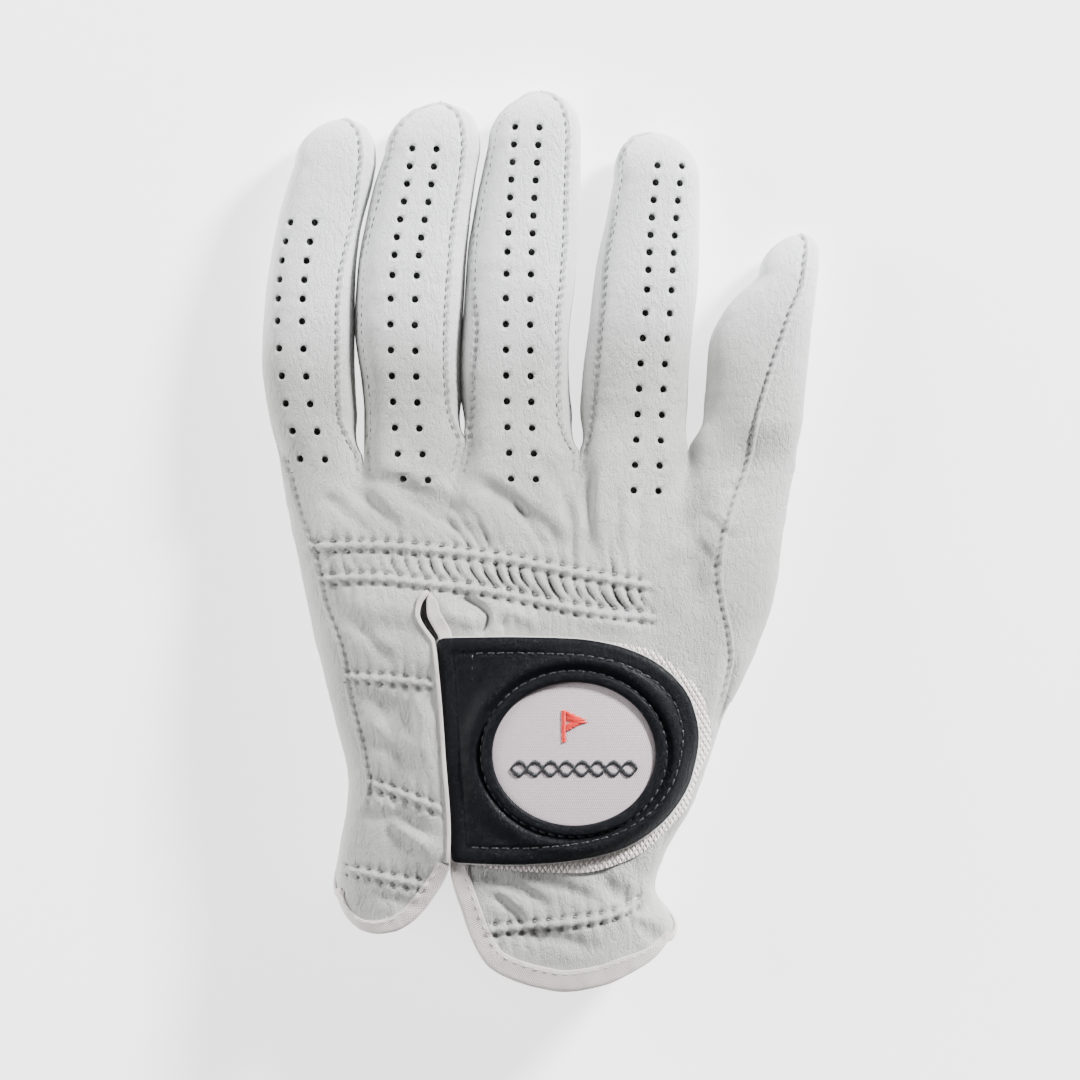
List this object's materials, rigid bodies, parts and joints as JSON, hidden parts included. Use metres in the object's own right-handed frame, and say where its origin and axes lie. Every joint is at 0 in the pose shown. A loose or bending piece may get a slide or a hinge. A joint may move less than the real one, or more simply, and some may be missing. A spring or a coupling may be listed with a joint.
{
  "type": "golf glove",
  "caption": "Soft white leather left-hand golf glove with perforated fingers, shirred knuckles, a bound wrist slit and a black fold-over closure tab.",
  "frame": {"origin": "on the flat underside of the palm, in the middle of the palm", "axes": "+Z out of the back of the hand, +Y towards the fingertips, +X towards the thumb"},
  "size_m": [0.128, 0.2072, 0.0332],
  "materials": {
    "white_leather": "soft perforated white sheepskin, satin",
    "palm_leather": "smooth white sheepskin, satin",
    "side_leather": "white sheepskin side strips, satin",
    "black_leather": "black tab leather, satin",
    "binding": "off-white woven tape",
    "elastic": "woven elastic",
    "white_thread": "light grey sewing thread",
    "black_thread": "black sewing thread",
    "knit": "brushed loop knit",
    "hook": "moulded hook tape",
    "lining": "white backing",
    "woven_roundel": "satin woven patch",
    "red_embroidery": "red embroidery thread"
  },
  "bodies": {
    "hand": {"back_panel": "white_leather", "cuff_binding_pinkie_side": "binding", "cuff_binding_thumb_side": "binding", "cuff_elastic": "elastic", "cuff_thread": "white_thread", "flap_elastic_lower": "elastic", "flap_elastic_middle": "elastic", "flap_elastic_upper": "elastic", "flap_thread": "white_thread", "knuckle_elastic_lower": "elastic", "knuckle_elastic_upper": "elastic", "knuckle_thread": "white_thread", "loop_pad": "knit", "palm_hem_binding": "binding", "palm_panel": "palm_leather", "slit_binding": "binding", "tab_root": "black_leather", "thenar_panel": "palm_leather"},
    "pinkie_base": {"pinkie_base_back": "white_leather", "pinkie_base_fourchettes": "side_leather", "pinkie_base_palm": "palm_leather"},
    "pinkie_end": {"pinkie_end_back": "white_leather", "pinkie_end_fourchettes": "side_leather", "pinkie_end_palm": "palm_leather"},
    "ring_base": {"ring_base_back": "white_leather", "ring_base_fourchettes": "side_leather", "ring_base_palm": "palm_leather"},
    "ring_end": {"ring_end_back": "white_leather", "ring_end_fourchettes": "side_leather", "ring_end_palm": "palm_leather"},
    "middle_base": {"middle_base_back": "white_leather", "middle_base_fourchettes": "side_leather", "middle_base_palm": "palm_leather"},
    "middle_end": {"middle_end_back": "white_leather", "middle_end_fourchettes": "side_leather", "middle_end_palm": "palm_leather"},
    "index_base": {"index_base_back": "white_leather", "index_base_fourchettes": "side_leather", "index_base_palm": "palm_leather"},
    "index_end": {"index_end_back": "white_leather", "index_end_fourchettes": "side_leather", "index_end_palm": "palm_leather"},
    "thumb_base": {"thumb_base_inner": "palm_leather", "thumb_base_outer": "palm_leather"},
    "thumb_end": {"thumb_end_inner": "palm_leather", "thumb_end_outer": "palm_leather"},
    "tab": {"tab_leather": "black_leather", "tab_lining": "lining", "hook_pad": "hook", "roundel_patch": "woven_roundel", "roundel_emblem": "red_embroidery", "roundel_rim": "black_leather", "tab_thread": "black_thread"}
  },
  "joints": [
    {"name": "pinkie_knuckle", "type": "hinge", "parent": "hand", "child": "pinkie_base", "pos_m": [-0.043, 0.0505, 0.0085], "axis": [-1, 0, 0], "range_deg": [0, 80]},
    {"name": "pinkie_middle_joint", "type": "hinge", "parent": "pinkie_base", "child": "pinkie_end", "pos_m": [-0.043, 0.077, 0.0085], "axis": [-1, 0, 0], "range_deg": [0, 90]},
    {"name": "ring_knuckle", "type": "hinge", "parent": "hand", "child": "ring_base", "pos_m": [-0.0203, 0.0545, 0.0085], "axis": [-1, 0, 0], "range_deg": [0, 80]},
    {"name": "ring_middle_joint", "type": "hinge", "parent": "ring_base", "child": "ring_end", "pos_m": [-0.0203, 0.082, 0.0085], "axis": [-1, 0, 0], "range_deg": [0, 90]},
    {"name": "middle_knuckle", "type": "hinge", "parent": "hand", "child": "middle_base", "pos_m": [0.0047, 0.0545, 0.0085], "axis": [-1, 0, 0], "range_deg": [0, 80]},
    {"name": "middle_middle_joint", "type": "hinge", "parent": "middle_base", "child": "middle_end", "pos_m": [0.0047, 0.083, 0.0085], "axis": [-1, 0, 0], "range_deg": [0, 90]},
    {"name": "index_knuckle", "type": "hinge", "parent": "hand", "child": "index_base", "pos_m": [0.0322, 0.0515, 0.0085], "axis": [-1, 0, 0], "range_deg": [0, 80]},
    {"name": "index_middle_joint", "type": "hinge", "parent": "index_base", "child": "index_end", "pos_m": [0.0322, 0.08, 0.0085], "axis": [-1, 0, 0], "range_deg": [0, 90]},
    {"name": "thumb_knuckle", "type": "hinge", "parent": "hand", "child": "thumb_base", "pos_m": [0.0592, 0.049, 0.0085], "axis": [-1, 0, 0], "range_deg": [0, 50]},
    {"name": "thumb_middle_joint", "type": "hinge", "parent": "thumb_base", "child": "thumb_end", "pos_m": [0.0592, 0.067, 0.0085], "axis": [-1, 0, 0], "range_deg": [0, 70]},
    {"name": "tab_hinge", "type": "hinge", "parent": "hand", "child": "tab", "pos_m": [-0.012, -0.0255, 0.03112], "axis": [0, -1, 0], "range_deg": [0, 150]}
  ]
}
